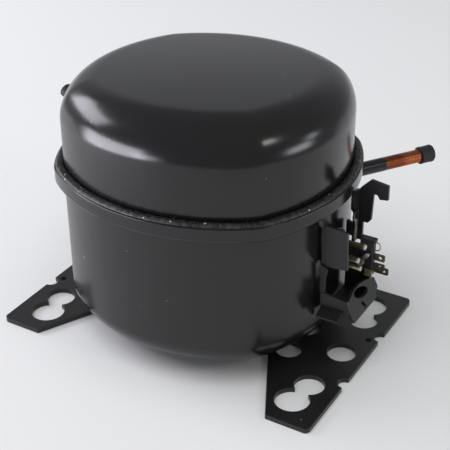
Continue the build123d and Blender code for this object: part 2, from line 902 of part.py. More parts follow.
def gasket(name, along, thickness, openings):
    """A flat plate over the cylinder's end with bolt holes and the listed openings."""
    with BuildPart() as flat:
        with BuildSketch(across(along)):
            RectangleRounded(plate_width, plate_height, 5)
            with GridLocations(2 * head_bolt, 2 * head_bolt, 2, 2):
                Circle(bolt_clear, mode=Mode.SUBTRACT)
            add(openings, mode=Mode.SUBTRACT)
        extrude(amount=thickness)
    write(flat, name)


with BuildSketch() as bore_opening:
    Circle(bore_radius + 0.3)
gasket("cylinder_gasket", gasket_x, gasket_thickness, bore_opening.sketch)

with BuildSketch() as ports:
    with Locations(suction_port):
        Circle(2.6)
    with Locations(discharge_port):
        Circle(2.1)
gasket("valve_plate", plate_x, plate_thickness, ports.sketch)

chamber = (11.0, 22.0)
chamber_y = 7.0
with BuildSketch() as chambers:
    with Locations((chamber_y, 0), (-chamber_y, 0)):
        RectangleRounded(chamber[0], chamber[1], 3)
head_gasket_thickness = 0.6
head_gasket_x = plate_x - fit_gap - head_gasket_thickness
gasket("head_gasket", head_gasket_x, head_gasket_thickness, chambers.sketch)

head_thickness = 10.5
head_x = head_gasket_x - fit_gap - head_thickness
with BuildPart() as cylinder_head:
    with BuildSketch(across(head_x)):
        RectangleRounded(plate_width, plate_height, 5)
        with GridLocations(2 * head_bolt, 2 * head_bolt, 2, 2):
            Circle(bolt_clear, mode=Mode.SUBTRACT)
    extrude(amount=head_thickness)
    with BuildSketch(across(head_x + 2.5)):
        add(chambers.sketch)
    extrude(amount=head_thickness, mode=Mode.SUBTRACT)
    with BuildSketch(Plane(origin=(shell_x + head_x + 6, shell_y + 25, cylinder_z), z_dir=(0, -1, 0))):
        Circle(2.8)
    extrude(amount=17, mode=Mode.SUBTRACT)
write(cylinder_head, "cylinder_head")

reed_thickness = 0.3
with BuildPart() as suction_reed:
    with BuildSketch(across(plate_x + plate_thickness + fit_gap)):
        with Locations((suction_port[0], 0.8)):
            SlotOverall(16.0, 7.0, rotation=90)
    extrude(amount=reed_thickness)
write(suction_reed, "suction_reed")

with BuildPart() as discharge_reed:
    with BuildSketch(across(plate_x - fit_gap - reed_thickness)):
        with Locations((discharge_port[0], 0.8)):
            SlotOverall(16.0, 6.0, rotation=90)
    extrude(amount=reed_thickness)
write(discharge_reed, "discharge_reed")

stop_lift = 1.6
stop_x = plate_x - fit_gap - reed_thickness - stop_lift
with BuildPart() as discharge_stop:
    with BuildSketch(across(stop_x - 1.0)):
        with Locations((discharge_port[0], 1.6)):
            SlotOverall(17.6, 6.0, rotation=90)
    extrude(amount=1.0)
    with BuildSketch(across(stop_x)):
        with Locations((discharge_port[0], 9.6)):
            Rectangle(4.0, 1.2)
    extrude(amount=plate_x - fit_gap - stop_x)
write(discharge_stop, "discharge_stop")

with BuildPart() as head_screws:
    with BuildSketch(across(head_x - fit_gap)):
        with GridLocations(2 * head_bolt, 2 * head_bolt, 2, 2):
            Circle(bolt_radius)
    extrude(amount=head_face + 10 - head_x)
    with BuildSketch(across(head_x - fit_gap - 2.6)):
        with GridLocations(2 * head_bolt, 2 * head_bolt, 2, 2):
            Circle(4.0)
            RegularPolygon(2.2, 6, mode=Mode.SUBTRACT)
    extrude(amount=2.6)
write(head_screws, "head_screws")

# ---- mufflers and discharge line ---------------------------------------------------------
muffler_low = deck_high + 1.5
port_x = head_x + 6
with BuildPart() as suction_muffler:
    with BuildSketch(level(muffler_low)):
        with Locations((-40, 33)):
            RectangleRounded(26, 20, 5)
    extrude(amount=27)
    with BuildSketch(Plane(origin=(shell_x + port_x, shell_y + 26, cylinder_z), z_dir=(0, -1, 0))):
        Circle(4.5)
    extrude(amount=7.2)
    with BuildSketch(Plane(origin=(shell_x + port_x, shell_y + 33, cylinder_z), z_dir=(0, -1, 0))):
        RectangleRounded(10, 12, 2)
    extrude(amount=8)
    fillet(suction_muffler.faces().sort_by(Axis.Z)[-1].edges(), 2.5)
write(suction_muffler, "suction_muffler")

muffler_spot = (-6, -32)
with BuildPart() as discharge_muffler:
    with BuildSketch(level(deck_high + play)):
        with Locations(muffler_spot):
            Circle(9.5)
    extrude(amount=16)
    fillet(discharge_muffler.faces().sort_by(Axis.Z)[-1].edges(), 3.0)
    with BuildSketch(level(deck_high)):
        with Locations(muffler_spot):
            Circle(8.0)
    extrude(amount=14, mode=Mode.SUBTRACT)
write(discharge_muffler, "discharge_muffler")

loop_radius = 2.4
loop_route = [
    (-6, -41.8, 112),
    (-6, -58, 112),
    (36, -55, 110),
    (63, -20, 104),
    (66, 20, 97),
    (50, 52, 90),
    (18, 62, 84),
    (-21.9, 58.7, 80),
    (-24.78, 70.25, 80),
]
with BuildPart() as discharge_loop:
    with BuildLine() as loop_line:
        FilletPolyline(
            *[(shell_x + x, shell_y + y, z) for x, y, z in loop_route],
            radius=(7, 12, 18, 18, 14, 12, 5),
        )
    with BuildSketch(Plane(origin=loop_line.line @ 0, z_dir=loop_line.line % 0)):
        Circle(loop_radius)
    sweep(path=loop_line.line)
write(discharge_loop, "discharge_loop")
print("all parts written")
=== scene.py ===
import json
import math

import bmesh
import bpy
import numpy as np
from mathutils import Matrix, Vector, noise

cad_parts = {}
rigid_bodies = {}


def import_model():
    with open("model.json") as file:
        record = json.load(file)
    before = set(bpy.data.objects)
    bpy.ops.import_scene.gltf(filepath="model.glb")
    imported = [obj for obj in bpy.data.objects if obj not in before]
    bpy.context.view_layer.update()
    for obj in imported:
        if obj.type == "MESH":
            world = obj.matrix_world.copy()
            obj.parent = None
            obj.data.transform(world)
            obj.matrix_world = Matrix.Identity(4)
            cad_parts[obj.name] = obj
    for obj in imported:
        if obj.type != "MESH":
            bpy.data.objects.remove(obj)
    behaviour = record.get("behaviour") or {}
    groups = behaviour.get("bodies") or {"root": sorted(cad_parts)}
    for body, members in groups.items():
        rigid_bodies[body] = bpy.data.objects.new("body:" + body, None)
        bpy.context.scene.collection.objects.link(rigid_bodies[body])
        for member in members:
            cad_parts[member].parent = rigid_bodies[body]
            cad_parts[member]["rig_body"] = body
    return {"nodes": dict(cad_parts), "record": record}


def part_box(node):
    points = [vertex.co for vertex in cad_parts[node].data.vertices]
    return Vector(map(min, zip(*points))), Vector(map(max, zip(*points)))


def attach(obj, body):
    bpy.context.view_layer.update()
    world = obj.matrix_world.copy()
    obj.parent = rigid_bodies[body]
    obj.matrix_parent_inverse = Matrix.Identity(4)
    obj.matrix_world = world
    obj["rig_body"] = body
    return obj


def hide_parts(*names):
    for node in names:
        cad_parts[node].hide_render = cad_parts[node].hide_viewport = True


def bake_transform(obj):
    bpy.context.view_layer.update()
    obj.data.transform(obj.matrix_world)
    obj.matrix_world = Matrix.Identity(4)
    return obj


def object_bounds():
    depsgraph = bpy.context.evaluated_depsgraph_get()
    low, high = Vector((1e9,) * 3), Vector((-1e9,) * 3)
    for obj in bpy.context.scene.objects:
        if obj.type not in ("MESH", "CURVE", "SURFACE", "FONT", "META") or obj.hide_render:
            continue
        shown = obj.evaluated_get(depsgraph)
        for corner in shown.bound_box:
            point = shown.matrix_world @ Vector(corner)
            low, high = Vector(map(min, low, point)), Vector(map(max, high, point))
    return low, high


# Looks for a hermetic compressor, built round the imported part. Metres, in the part's own frame.
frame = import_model()
nodes = frame["nodes"]
cad_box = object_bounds()
MM = 0.001

# ---- the casing's plan: eight tangent arcs, centred between the weld's sides --------------------
weld_low, weld_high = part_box("weld_seam")
shell_low, shell_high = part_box("lower_shell")
dome_low, dome_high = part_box("upper_shell")
CENTRE = Vector(((weld_low.x + weld_high.x) / 2, (weld_low.y + weld_high.y) / 2, 0))
OUTSET = 0.8 * MM
HALF_LONG = (weld_high.x - weld_low.x) / 2 + OUTSET
HALF_SHORT = (weld_high.y - weld_low.y) / 2 + OUTSET
CORNER = Vector((43.1, 36.5)) * MM
CORNER_RADIUS = 30.3 * MM
RIM_Z = shell_high.z
TOP_Z = dome_high.z
BOTTOM_Z = shell_low.z
SHEET = 3.0 * MM
TOP_INSET = 5.6 * MM
TOP_LEAN = (23.2, -22.5)
TOP_CROWN = 833 * MM
TOP_CORNER = 22.5 * MM
BOTTOM_CROWN = 600 * MM
BOTTOM_CORNER = 15 * MM
SKIRT_INSET = 3.2 * MM
SKIRT_EDGE = 6.2 * MM
BOTTOM_INSET = 5.1 * MM
BAND_HEIGHT = 8.6 * MM


def plan_columns(count):
    """Arc centres, radii and outward normals of points evenly spaced round the casing's plan."""
    long_side = HALF_LONG - CORNER.x - CORNER_RADIUS
    short_side = HALF_SHORT - CORNER.y - CORNER_RADIUS
    flank = ((HALF_LONG - CORNER.x) ** 2 + CORNER.y**2 - CORNER_RADIUS**2) / (2 * long_side)
    front = ((HALF_SHORT - CORNER.y) ** 2 + CORNER.x**2 - CORNER_RADIUS**2) / (2 * short_side)
    flank_x = HALF_LONG - flank
    front_y = HALF_SHORT - front
    low = math.atan2(CORNER.y, CORNER.x - flank_x)
    high = math.atan2(CORNER.y - front_y, CORNER.x)
    quarter = [
        (0, low, (flank_x, 0), flank),
        (low, high, (CORNER.x, CORNER.y), CORNER_RADIUS),
        (high, math.pi / 2, (0, front_y), front),
    ]
    arcs = []
    for turn in range(4):
        for start, end, centre, radius in quarter if turn % 2 == 0 else quarter[::-1]:
            sx = 1 if turn in (0, 3) else -1
            sy = 1 if turn in (0, 1) else -1
            if turn == 0:
                span = (start, end)
            elif turn == 1:
                span = (math.pi - end, math.pi - start)
            elif turn == 2:
                span = (math.pi + start, math.pi + end)
            else:
                span = (2 * math.pi - end, 2 * math.pi - start)
            arcs.append((span[0], span[1], (sx * centre[0], sy * centre[1]), radius))
    arcs.sort(key=lambda arc: arc[0])
    lengths = np.array([(end - start) * radius for start, end, _, radius in arcs])
    ends = np.cumsum(lengths)
    places = (np.arange(count) / count) * ends[-1]
    centres, radii, normals = [], [], []
    for place in places:
        index = min(int(np.searchsorted(ends, place, side="right")), len(arcs) - 1)
        start, end, centre, radius = arcs[index]
        angle = start + (place - ends[index] + lengths[index]) / radius
        centres.append(centre)
        radii.append(radius)
        normals.append((math.cos(angle), math.sin(angle)))
    return np.array(centres), np.array(radii), np.array(normals), ends[-1]


def plan_ring(columns, inset, height):
    """One closed ring of the casing's plan, moved in by inset, at a height (a number or one per column)."""
    centres, radii, normals, _ = columns
    flat = centres + (radii - inset)[:, None] * normals
    heights = np.broadcast_to(np.asarray(height, float), (len(flat),))
    return np.column_stack([flat[:, 0] + CENTRE.x, flat[:, 1] + CENTRE.y, heights])


def slerp(a, b, t):
    """Directions between unit vectors a and b, row by row."""
    angle = np.arccos(np.clip((a * b).sum(1), -1, 1))[:, None]
    safe = np.where(angle < 1e-7, 1, np.sin(angle))
    mixed = (np.sin((1 - t) * angle) * a + np.sin(t * angle) * b) / safe
    return np.where(angle < 1e-7, a, mixed)


def crown(columns, inset, apex, crown_radius, corner, up, corner_steps, crown_steps, lean=(0, 0)):
    """The rings of a drum's crowned end, from the top of its wall to just short of the apex."""
    centres, radii, normals, _ = columns
    lean = np.array(lean) * MM
    flat = centres + (radii - inset - corner)[:, None] * normals
    across = flat - lean
    inner = crown_radius - corner
    base = apex - up * crown_radius
    rise = up * np.sqrt(inner**2 - (across**2).sum(1))
    ball = np.column_stack([flat, base + rise])
    outward = np.column_stack([normals, np.zeros(len(normals))])
    skyward = np.column_stack([across, rise]) / inner
    rings = []
    for step in range(corner_steps + 1):
        rings.append(ball + corner * slerp(outward, skyward, step / corner_steps))
    pole = np.tile([0.0, 0.0, float(up)], (len(flat), 1))
    for step in range(1, crown_steps):
        direction = slerp(skyward, pole, step / crown_steps)
        rings.append(np.array([*lean, base]) + crown_radius * direction)
    offset = np.array([CENTRE.x, CENTRE.y, 0])
    return [ring + offset for ring in rings]


def mesh_object(name, verts, faces, smooth=True):
    """A new mesh object in the part's frame."""
    mesh = bpy.data.meshes.new(name)
    mesh.from_pydata([tuple(v) for v in verts], [], [tuple(f) for f in faces])
    mesh.validate()
    mesh.update()
    if smooth:
        mesh.shade_smooth()
    made = bpy.data.objects.new(name, mesh)
    bpy.context.scene.collection.objects.link(made)
    return made


def ring_mesh(name, rings, closed_loop=False, low_pole=None, high_pole=None):
    """A mesh through rings of equal length, with an optional pole at either end."""
    count = len(rings[0])
    verts = np.concatenate(rings)
    faces = []
    layers = len(rings)
    for layer in range(layers if closed_loop else layers - 1):
        a = layer * count
        b = ((layer + 1) % layers) * count
        for i in range(count):
            j = (i + 1) % count
            faces.append((a + i, a + j, b + j, b + i))
    extra = []
    if low_pole is not None:
        extra.append(low_pole)
        pole = len(verts) + len(extra) - 1
        faces.extend((pole, (i + 1) % count, i) for i in range(count))
    if high_pole is not None:
        extra.append(high_pole)
        pole = len(verts) + len(extra) - 1
        last = (layers - 1) * count
        faces.extend((pole, last + i, last + (i + 1) % count) for i in range(count))
    if extra:
        verts = np.concatenate([verts, np.array(extra)])
    return mesh_object(name, verts, faces)


def even_normals(piece, angle=40):
    """Smooth shading that follows the large faces and breaks at true corners."""
    piece.data.set_sharp_from_angle(angle=math.radians(angle))
    weighted = piece.modifiers.new("even_normals", "WEIGHTED_NORMAL")
    weighted.keep_sharp = True
    return piece


def outward_normals(piece):
    """Turn every face of a closed mesh outward."""
    work = bmesh.new()
    work.from_mesh(piece.data)
    bmesh.ops.recalc_face_normals(work, faces=work.faces)
    work.to_mesh(piece.data)
    work.free()
    return piece


def round_edges(piece, width, segments=3, angle=25):
    """Merge flat faces, then round every edge sharper than the angle."""
    work = bmesh.new()
    work.from_mesh(piece.data)
    bmesh.ops.remove_doubles(work, verts=work.verts, dist=2e-6)
    bmesh.ops.dissolve_limit(
        work, angle_limit=math.radians(0.6), verts=work.verts, edges=work.edges
    )
    bmesh.ops.recalc_face_normals(work, faces=work.faces)
    sharp = [
        e
        for e in work.edges
        if len(e.link_faces) == 2 and e.calc_face_angle(0) > math.radians(angle)
    ]
    bmesh.ops.bevel(
        work,
        geom=sharp,
        offset=width,
        offset_type="OFFSET",
        segments=segments,
        profile=0.5,
        affect="EDGES",
        clamp_overlap=True,
    )
    work.to_mesh(piece.data)
    work.free()
    piece.data.shade_smooth()
    even_normals(piece, 50)


def crisp(node, name, width, segments=3, angle=25):
    """A rounded copy of a CAD node's own shape, which stands for that node."""
    source = nodes[node]
    clean = bmesh.new()
    clean.from_mesh(source.data)
    fresh = bpy.data.meshes.new(name)
    clean.to_mesh(fresh)
    clean.free()
    for layer in ("custom_normal", "sharp_edge", "sharp_face"):
        if layer in fresh.attributes:
            fresh.attributes.remove(fresh.attributes[layer])
    made = bpy.data.objects.new(name, fresh)
    bpy.context.scene.collection.objects.link(made)
    round_edges(made, width, segments, angle)
    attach(made, source["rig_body"])
    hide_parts(node)
    return made


def add_piece(piece, material, stands_for=(), body="casing"):
    """Give a new piece its material, its body and the CAD nodes that it stands for."""
    piece.data.materials.clear()
    piece.data.materials.append(material)
    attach(piece, body)
    if stands_for:
        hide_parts(*stands_for)
    return piece


def turned(name, profile, origin, axis, segments=64):
    """A shape turned about an axis; profile is (distance along, radius) in metres."""
    axis = Vector(axis).normalized()
    side = axis.orthogonal().normalized()
    other = axis.cross(side)
    rings = []
    for along, radius in profile:
        ring = []
        for i in range(segments):
            angle = 2 * math.pi * i / segments
            spoke = side * math.cos(angle) + other * math.sin(angle)
            ring.append(tuple(Vector(origin) + axis * along + spoke * radius))
        rings.append(np.array(ring))
    start = tuple(Vector(origin) + axis * profile[0][0])
    end = tuple(Vector(origin) + axis * profile[-1][0])
    piece = ring_mesh(name, rings, low_pole=start, high_pole=end)
    outward_normals(piece)
    even_normals(piece, 50)
    return piece


# ---- materials ------------------------------------------------------------------------------
def surface(name, colour, roughness, metallic=0.0, specular=0.5, coat=0.0, coat_roughness=0.1):
    """A node material with a plain shader; the helpers below add its detail."""
    made = bpy.data.materials.new(name)
    made.use_nodes = True
    tree = made.node_tree
    shader = tree.nodes["Principled BSDF"]
    shader.inputs["Base Color"].default_value = (*colour, 1)
    shader.inputs["Roughness"].default_value = roughness
    shader.inputs["Metallic"].default_value = metallic
    shader.inputs["Specular IOR Level"].default_value = specular
    shader.inputs["Coat Weight"].default_value = coat
    shader.inputs["Coat Roughness"].default_value = coat_roughness
    place = tree.nodes.new("ShaderNodeTexCoord")
    return made, tree, shader, place.outputs["Object"]


def grain(tree, place, scale, detail=4.0, roughness=0.55, stretch=None):
    """A noise pattern in object space; stretch is a scale per axis."""
    if stretch is not None:
        mapping = tree.nodes.new("ShaderNodeMapping")
        mapping.inputs["Scale"].default_value = stretch
        tree.links.new(place, mapping.inputs["Vector"])
        place = mapping.outputs["Vector"]
    made = tree.nodes.new("ShaderNodeTexNoise")
    made.inputs["Scale"].default_value = scale
    made.inputs["Detail"].default_value = detail
    made.inputs["Roughness"].default_value = roughness
    tree.links.new(place, made.inputs["Vector"])
    return made.outputs["Fac"]


def span(tree, value, low, high, to_low, to_high, smooth=False):
    """Map a value's range onto another."""
    made = tree.nodes.new("ShaderNodeMapRange")
    made.interpolation_type = "SMOOTHSTEP" if smooth else "LINEAR"
    made.inputs["From Min"].default_value = low
    made.inputs["From Max"].default_value = high
    made.inputs["To Min"].default_value = to_low
    made.inputs["To Max"].default_value = to_high
    tree.links.new(value, made.inputs["Value"])
    return made.outputs["Result"]


def blend(tree, factor, one, two):
    """Mix two colours (or colour outputs) by a factor output."""
    made = tree.nodes.new("ShaderNodeMix")
    made.data_type = "RGBA"
    tree.links.new(factor, made.inputs["Factor"])
    for value, socket in ((one, made.inputs["A"]), (two, made.inputs["B"])):
        if isinstance(value, tuple):
            socket.default_value = (*value, 1)
        else:
            tree.links.new(value, socket)
    return made.outputs["Result"]


def relief(tree, shader, height, strength, distance, earlier=None):
    """Bump from a height pattern, over an earlier bump if there is one."""
    made = tree.nodes.new("ShaderNodeBump")
    made.inputs["Strength"].default_value = strength
    made.inputs["Distance"].default_value = distance
    tree.links.new(height, made.inputs["Height"])
    if earlier is not None:
        tree.links.new(earlier, made.inputs["Normal"])
    tree.links.new(made.outputs["Normal"], shader.inputs["Normal"])
    return made.outputs["Normal"]


def specks(tree, place, scale, size, share):
    """Sparse round specks: one inside the dots, nought outside."""
    cells = tree.nodes.new("ShaderNodeTexVoronoi")
    cells.inputs["Scale"].default_value = scale
    tree.links.new(place, cells.inputs["Vector"])
    inside = span(tree, cells.outputs["Distance"], size * 0.6, size, 1, 0, smooth=True)
    chance = tree.nodes.new("ShaderNodeMath")
    chance.operation = "LESS_THAN"
    chance.inputs[1].default_value = share
    pick = tree.nodes.new("ShaderNodeSeparateColor")
    tree.links.new(cells.outputs["Color"], pick.inputs["Color"])
    tree.links.new(pick.outputs["Red"], chance.inputs[0])
    both = tree.nodes.new("ShaderNodeMath")
    both.operation = "MULTIPLY"
    tree.links.new(inside, both.inputs[0])
    tree.links.new(chance.outputs["Value"], both.inputs[1])
    return both.outputs["Value"]


def enamel(name, colour, low_gloss, high_gloss, dust):
    """Glossy black enamel: faint orange peel, cloudy gloss and a little dust."""
    made, tree, shader, place = surface(name, colour, low_gloss, specular=0.5)
    cloud = grain(tree, place, 14, 3)
    tree.links.new(span(tree, cloud, 0.35, 0.65, low_gloss, high_gloss), shader.inputs["Roughness"])
    fine = specks(tree, place, 130, 0.075, 0.16)
    coarse = specks(tree, place, 45, 0.045, 0.25)
    tint = blend(tree, cloud, colour, tuple(c * 1.5 for c in colour))
    tint = blend(tree, fine, tint, (dust, dust, dust * 0.95))
    tint = blend(tree, coarse, tint, (dust, dust, dust * 0.95))
    tree.links.new(tint, shader.inputs["Base Color"])
    peel = relief(tree, shader, grain(tree, place, 260, 2), 0.05, 0.0006)
    relief(tree, shader, coarse, 0.35, 0.0002, peel)
    return made


def pressed_paint(name, colour, roughness):
    """Satin paint over pressed sheet: slight mottling, fine grain, scuffs."""
    made, tree, shader, place = surface(name, colour, roughness, specular=0.45)
    mottled = grain(tree, place, 60, 5)
    tint = blend(tree, mottled, tuple(c * 0.8 for c in colour), tuple(c * 1.35 for c in colour))
    nicks = specks(tree, place, 160, 0.09, 0.12)
    tint = blend(tree, nicks, tint, (0.16, 0.16, 0.155))
    tree.links.new(tint, shader.inputs["Base Color"])
    tree.links.new(
        span(tree, mottled, 0.3, 0.7, roughness - 0.06, roughness + 0.08), shader.inputs["Roughness"]
    )
    ripple = relief(tree, shader, grain(tree, place, 35, 2), 0.12, 0.0006)
    relief(tree, shader, grain(tree, place, 900, 3), 0.12, 0.00012, ripple)
    return made


def bare_metal(name, colour, tarnish, roughness, scale=120, stretch=None):
    """Bare metal with drawn grain and patches of tarnish."""
    made, tree, shader, place = surface(name, colour, roughness, metallic=1.0)
    patches = grain(tree, place, scale * 0.35, 5)
    tint = blend(tree, span(tree, patches, 0.4, 0.62, 0, 1, smooth=True), colour, tarnish)
    tree.links.new(tint, shader.inputs["Base Color"])
    tree.links.new(
        span(tree, patches, 0.3, 0.7, roughness - 0.08, roughness + 0.12), shader.inputs["Roughness"]
    )
    relief(tree, shader, grain(tree, place, scale * 6, 3, stretch=stretch), 0.15, 0.0001)
    return made


def moulded(name, colour, roughness, scale=500):
    """Moulded plastic or rubber: slight colour change and a fine eroded grain."""
    made, tree, shader, place = surface(name, colour, roughness, specular=0.4)
    mottled = grain(tree, place, 40, 4)
    tint = blend(tree, mottled, tuple(c * 0.8 for c in colour), tuple(c * 1.3 for c in colour))
    tree.links.new(tint, shader.inputs["Base Color"])
    tree.links.new(
        span(tree, mottled, 0.3, 0.7, roughness - 0.07, roughness + 0.07), shader.inputs["Roughness"]
    )
    relief(tree, shader, grain(tree, place, scale, 3), 0.2, 0.0001)
    return made


def weld_metal():
    """A painted weld bead: scale ripples, with pale specks in the base colour as painted glints (painted
    highlights).
    """
    colour = (0.022, 0.022, 0.023)
    made, tree, shader, place = surface("weld_scale", colour, 0.3, metallic=0.3, specular=0.6)
    rough = grain(tree, place, 420, 6, 0.7)
    tint = blend(tree, span(tree, rough, 0.45, 0.7, 0, 1, smooth=True), colour, (0.07, 0.068, 0.066))
    # pale specks painted into the base colour: painted highlights that stand for glints on the bead
    painted_glints = specks(tree, place, 420, 0.22, 0.2)
    tint = blend(tree, painted_glints, tint, (0.7, 0.7, 0.69))
    tree.links.new(tint, shader.inputs["Base Color"])
    tree.links.new(span(tree, rough, 0.35, 0.65, 0.2, 0.48), shader.inputs["Roughness"])
    relief(tree, shader, rough, 0.6, 0.0005)
    return made


paint = enamel("casing_enamel", (0.0060, 0.0060, 0.0064), 0.18, 0.22, 0.10)
bracket = pressed_paint("bracket_satin", (0.0115, 0.0115, 0.012), 0.36)
weld_mat = weld_metal()
copper = bare_metal("copper_tube", (0.42, 0.125, 0.05), (0.22, 0.06, 0.025), 0.30, 150)
dull_brass = bare_metal("blade_plate", (0.16, 0.145, 0.10), (0.07, 0.062, 0.045), 0.34, 300)
dark_zinc = bare_metal("strap_plate", (0.20, 0.20, 0.19), (0.06, 0.06, 0.058), 0.36, 260)
rubber = moulded("cap_rubber", (0.018, 0.018, 0.018), 0.55)
nickel = bare_metal("nickel_plate", (0.78, 0.77, 0.74), (0.50, 0.48, 0.44), 0.28)
brass = bare_metal("pin_brass", (0.40, 0.35, 0.22), (0.22, 0.19, 0.12), 0.4, 300)
zinc = bare_metal("zinc_plate", (0.62, 0.61, 0.58), (0.38, 0.36, 0.32), 0.35)
bead = moulded("bead_glass", (0.05, 0.07, 0.06), 0.15, 200)
relay_black = moulded("relay_plastic", (0.012, 0.012, 0.013), 0.38)
relay_white = moulded("white_plastic", (0.62, 0.60, 0.55), 0.45)
cast_iron = bare_metal("cast_iron", (0.30, 0.30, 0.31), (0.18, 0.175, 0.17), 0.55, 160)
steel = bare_metal("turned_steel", (0.55, 0.55, 0.56), (0.42, 0.42, 0.43), 0.3, 120)
spring = bare_metal("spring_steel", (0.28, 0.28, 0.30), (0.16, 0.15, 0.15), 0.32, 200)
lamination = bare_metal(
    "lamination_steel", (0.32, 0.33, 0.36), (0.20, 0.20, 0.23), 0.4, 120, (0.1, 0.1, 12)
)
winding = bare_metal(
    "winding_enamel", (0.55, 0.22, 0.09), (0.38, 0.13, 0.05), 0.34, 260, (1.0, 1.0, 0.15)
)
aluminium = bare_metal("cast_aluminium", (0.66, 0.66, 0.67), (0.50, 0.50, 0.51), 0.45, 130)
gasket = moulded("gasket_sheet", (0.10, 0.11, 0.09), 0.75)

looks = {
    "casing_paint": paint,
    "bracket_paint": bracket,
    "weld": weld_mat,
    "copper": copper,
    "cap_rubber": rubber,
    "zinc": zinc,
    "pin_brass": brass,
    "bead_glass": bead,
    "relay_plastic": relay_black,
    "white_plastic": relay_white,
    "cast": cast_iron,
    "steel": steel,
    "spring_steel": spring,
    "lamination": lamination,
    "winding": winding,
    "cast_aluminium": aluminium,
    "gasket": gasket,
}
slot_of = {part["node"]: part["material_slot"] for part in frame["record"]["subparts"]}
for node_name, node in nodes.items():
    node.data.materials.clear()
    node.data.materials.append(looks[slot_of[node_name]])

# ---- the two drawn shells ----------------------------------------------------------------------
fine = plan_columns(360)


def wall_rings(inset, low, high, steps):
    """Rings up a straight wall; high may differ from column to column."""
    return [plan_ring(fine, inset, low + (high - low) * step / steps) for step in range(1, steps)]


dome_corner = crown(fine, TOP_INSET, TOP_Z, TOP_CROWN, TOP_CORNER, 1, 22, 26, TOP_LEAN)
dome_inside = crown(
    fine, TOP_INSET + SHEET, TOP_Z - SHEET, TOP_CROWN - SHEET, TOP_CORNER - SHEET, 1, 6, 8, TOP_LEAN
)
skirt_low = dome_low.z
skirt = [
    plan_ring(fine, SKIRT_EDGE, skirt_low),
    plan_ring(fine, SKIRT_INSET, skirt_low),
    plan_ring(fine, SKIRT_INSET, skirt_low + 4.2 * MM),
    plan_ring(fine, 3.6 * MM, skirt_low + 4.9 * MM),
    plan_ring(fine, 5.1 * MM, skirt_low + 5.1 * MM),
    plan_ring(fine, TOP_INSET, skirt_low + 5.6 * MM),
]
dome_rings = skirt + wall_rings(TOP_INSET, skirt_low + 5.6 * MM, dome_corner[0][:, 2], 5) + dome_corner
inner_start = plan_ring(fine, TOP_INSET + SHEET, skirt_low + 4 * MM)
inner = [plan_ring(fine, SKIRT_EDGE, skirt_low + 2.8 * MM), inner_start] + dome_inside
apex = (CENTRE.x + TOP_LEAN[0] * MM, CENTRE.y + TOP_LEAN[1] * MM, TOP_Z)
apex_inside = (apex[0], apex[1], TOP_Z - SHEET)
upper = ring_mesh("upper_casing", inner[::-1] + dome_rings, low_pole=apex_inside, high_pole=apex)
outward_normals(upper)
even_normals(upper)
add_piece(upper, paint, ["upper_shell"])

ledge = RIM_Z - BAND_HEIGHT
bottom = crown(fine, BOTTOM_INSET, BOTTOM_Z, BOTTOM_CROWN, BOTTOM_CORNER, -1, 14, 16)
bottom_inside = crown(
    fine, BOTTOM_INSET + SHEET, BOTTOM_Z + SHEET, BOTTOM_CROWN - SHEET, BOTTOM_CORNER - SHEET, -1, 5, 6
)
throat = 2.4 * MM
lip = 1.6 * MM
wall_top = ledge - throat
outside = bottom[::-1]
outside += wall_rings(BOTTOM_INSET, bottom[0][:, 2], wall_top, 8)
outside += [
    plan_ring(
        fine,
        BOTTOM_INSET - throat * (1 - math.cos(math.radians(a))),
        wall_top + throat * math.sin(math.radians(a)),
    )
    for a in (0, 18, 36, 54, 72, 90)
]
outside += [
    plan_ring(
        fine,
        lip * (1 - math.sin(math.radians(a))),
        ledge + lip * (1 - math.cos(math.radians(a))),
    )
    for a in (0, 18, 36, 54, 72, 90)
]
edge = 0.7 * MM
outside += [
    plan_ring(
        fine,
        edge * (1 - math.cos(math.radians(a))),
        RIM_Z - edge * (1 - math.sin(math.radians(a))),
    )
    for a in (0, 22, 45, 67, 90)
]
outside += [plan_ring(fine, SHEET, RIM_Z), plan_ring(fine, SHEET, ledge + SHEET)]
inside = [plan_ring(fine, BOTTOM_INSET + SHEET, ledge + SHEET)] + bottom_inside
lower = ring_mesh(
    "lower_casing",
    outside + inside,
    low_pole=(CENTRE.x, CENTRE.y, BOTTOM_Z),
    high_pole=(CENTRE.x, CENTRE.y, BOTTOM_Z + SHEET),
)
outward_normals(lower)
even_normals(lower)
add_piece(lower, paint, ["lower_shell"])

# ---- the weld between them ------------------------------------------------------------------
WELD_COLUMNS = 2200
dense = plan_columns(WELD_COLUMNS)
girth = dense[3]
along = np.arange(WELD_COLUMNS) / WELD_COLUMNS * girth
weld_rings = []
bead_steps = 12
wander = np.array([noise.noise(Vector((s * 90, 0.3, 2.0))) for s in along])
swell = np.array([noise.noise(Vector((s * 420, 5.3, 1.0))) for s in along])
scale_pitch = 1.35 * MM
ripple = np.abs(np.sin(along / scale_pitch * math.pi + 2.2 * wander))
for step in range(bead_steps + 1):
    angle = math.pi * step / bead_steps
    middle_inset = 3.15 * MM + 0.25 * MM * wander
    half_width = 2.35 * MM + 0.16 * MM * swell
    height = 1.45 * MM + 0.26 * MM * ripple + 0.28 * MM * swell
    ring_inset = middle_inset - half_width * math.cos(angle)
    bump = math.sin(angle) ** 0.8
    flake = np.array([noise.noise(Vector((s * 900, step * 0.8, 7.0))) for s in along])
    lift = np.clip(height * bump + 0.14 * MM * flake * bump, 0, 1.95 * MM)
    weld_rings.append(plan_ring(dense, ring_inset, RIM_Z + 0.02 * MM + lift))
under = [plan_ring(dense, 5.4 * MM, RIM_Z - 0.4 * MM), plan_ring(dense, 0.9 * MM, RIM_Z - 0.4 * MM)]
bead_line = ring_mesh("weld_bead", weld_rings + under, closed_loop=True)
outward_normals(bead_line)
add_piece(bead_line, weld_mat, ["weld_seam"])

